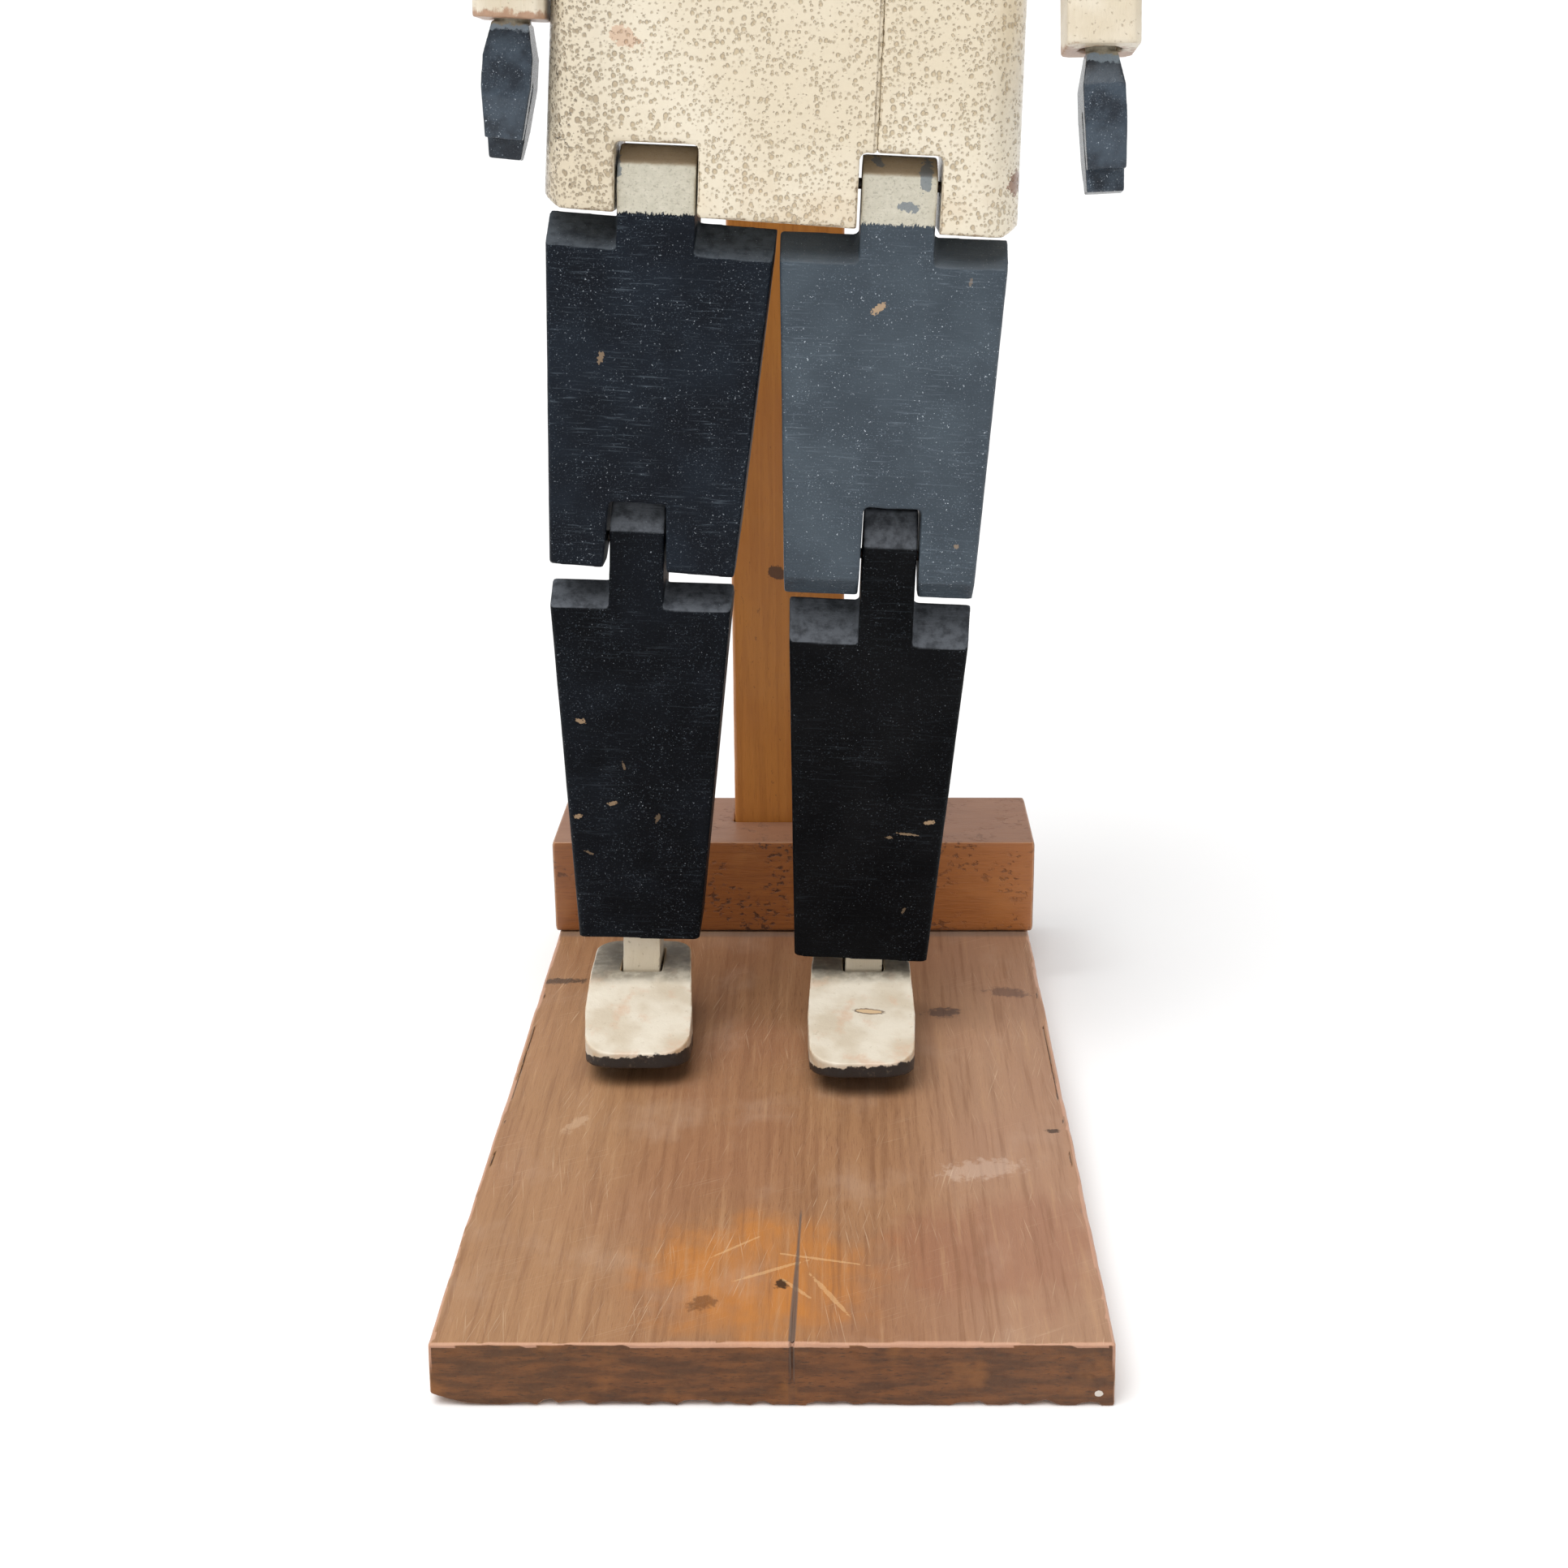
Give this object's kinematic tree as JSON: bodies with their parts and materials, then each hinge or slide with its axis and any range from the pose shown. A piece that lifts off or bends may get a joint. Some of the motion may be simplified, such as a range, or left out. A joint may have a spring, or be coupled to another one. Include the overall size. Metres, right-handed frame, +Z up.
{
  "type": "artist mannequin",
  "caption": "Hand-made jointed wooden figure with painted clothes, hung by its back from a post on a heavy plank stand; neck and all limb joints move.",
  "frame": {"origin": "centre of the base board's underside, as a mount on the face it rests on", "axes": "+Z up, +X to the right when looking at the figure's front, -Y the way the figure faces"},
  "size_m": [0.2637, 0.4506, 0.7706],
  "materials": {
    "board_wood": "old waxed red-brown plank, worn amber in the middle",
    "cleat_wood": "orange-brown varnished timber with dents",
    "post_wood": "amber pine with upright grain",
    "bare_wood": "bare worn hardwood",
    "torso_paint": "cream enamel on wood, pitted with tan spots",
    "sleeve_paint": "cream paint on wood, raised grain",
    "trouser_paint": "blue-black paint on wood, fine speckle, scuffs",
    "shoe_paint": "cream paint with a ragged black sole edge",
    "hand_paint": "glossy blue-black paint",
    "head_paint": "flesh paint on carved wood, dark painted hair",
    "steel": "dull wire, rusty at the ends"
  },
  "bodies": {
    "stand_and_torso": {"base_board": "board_wood", "back_cleat": "cleat_wood", "stand_post": "post_wood", "support_arm": "post_wood", "arm_wedge": "post_wood", "post_peg": "post_wood", "cleat_screws": "steel", "torso_main_board": "torso_paint", "torso_side_board": "torso_paint", "neck_dowel": "bare_wood", "left_hip_pin": "steel", "right_hip_pin": "steel", "left_shoulder_pin": "steel", "right_shoulder_pin": "steel", "left_shoulder_washer": "steel", "right_shoulder_washer": "steel"},
    "head": {"head": "head_paint"},
    "left_upper_arm": {"left_upper_arm": "sleeve_paint", "left_elbow_pin": "steel"},
    "left_forearm": {"left_forearm": "sleeve_paint"},
    "left_hand": {"left_hand": "hand_paint"},
    "left_thigh": {"left_thigh": "trouser_paint", "left_knee_pin": "steel"},
    "left_shin": {"left_shin": "trouser_paint", "left_ankle_tenon": "shoe_paint"},
    "left_foot": {"left_shoe": "shoe_paint", "left_ankle_pin": "steel"},
    "right_upper_arm": {"right_upper_arm": "sleeve_paint", "right_elbow_pin": "steel"},
    "right_forearm": {"right_forearm": "sleeve_paint"},
    "right_hand": {"right_hand": "hand_paint"},
    "right_thigh": {"right_thigh": "trouser_paint", "right_knee_pin": "steel"},
    "right_shin": {"right_shin": "trouser_paint", "right_ankle_tenon": "shoe_paint"},
    "right_foot": {"right_shoe": "shoe_paint", "right_ankle_pin": "steel"}
  },
  "joints": [
    {"name": "neck_swivel", "type": "hinge", "parent": "stand_and_torso", "child": "head", "pos_m": [0.01223, 0.045, 0.66663], "axis": [0.0454, 0, 0.999], "range_deg": [-80, 80]},
    {"name": "left_shoulder", "type": "hinge", "parent": "stand_and_torso", "child": "left_upper_arm", "pos_m": [-0.10043, 0.045, 0.64372], "axis": [-0.999, 0, 0.0454], "continuous": true},
    {"name": "left_elbow", "type": "hinge", "parent": "left_upper_arm", "child": "left_forearm", "pos_m": [-0.10379, 0.04179, 0.55183], "axis": [-0.999, 0, 0.0454], "range_deg": [0, 90]},
    {"name": "left_wrist", "type": "hinge", "parent": "left_forearm", "child": "left_hand", "pos_m": [-0.10694, 0.03879, 0.46594], "axis": [0.0941, 0.0349, 0.995], "range_deg": [-25, 25]},
    {"name": "left_hip", "type": "hinge", "parent": "stand_and_torso", "child": "left_thigh", "pos_m": [-0.05005, 0.042, 0.40619], "axis": [-0.999, 0, 0.0454], "range_deg": [-12, 22]},
    {"name": "left_knee", "type": "hinge", "parent": "left_thigh", "child": "left_shin", "pos_m": [-0.06255, 0.042, 0.2544], "axis": [0.999, 0, -0.0454], "range_deg": [-5, 10]},
    {"name": "left_ankle", "type": "hinge", "parent": "left_shin", "child": "left_foot", "pos_m": [-0.06708, 0.045, 0.05089], "axis": [-0.999, 0, 0.0454], "range_deg": [-3, 8]},
    {"name": "right_shoulder", "type": "hinge", "parent": "stand_and_torso", "child": "right_upper_arm", "pos_m": [0.12225, 0.045, 0.6336], "axis": [-0.999, 0, 0.0454], "continuous": true},
    {"name": "right_elbow", "type": "hinge", "parent": "right_upper_arm", "child": "right_forearm", "pos_m": [0.1236, 0.02826, 0.54315], "axis": [-0.999, 0, 0.0454], "range_deg": [0, 90]},
    {"name": "right_wrist", "type": "hinge", "parent": "right_forearm", "child": "right_hand", "pos_m": [0.12493, 0.0118, 0.45417], "axis": [-0.0444, 0.1815, 0.9824], "range_deg": [-80, 80]},
    {"name": "right_hip", "type": "hinge", "parent": "stand_and_torso", "child": "right_thigh", "pos_m": [0.04775, 0.042, 0.40175], "axis": [-0.999, 0, 0.0454], "range_deg": [-12, 22]},
    {"name": "right_knee", "type": "hinge", "parent": "right_thigh", "child": "right_shin", "pos_m": [0.04462, 0.042, 0.24693], "axis": [0.999, 0, -0.0454], "range_deg": [-5, 8]},
    {"name": "right_ankle", "type": "hinge", "parent": "right_shin", "child": "right_foot", "pos_m": [0.03402, 0.045, 0.05091], "axis": [-0.999, 0, 0.0454], "range_deg": [-3, 8]}
  ]
}
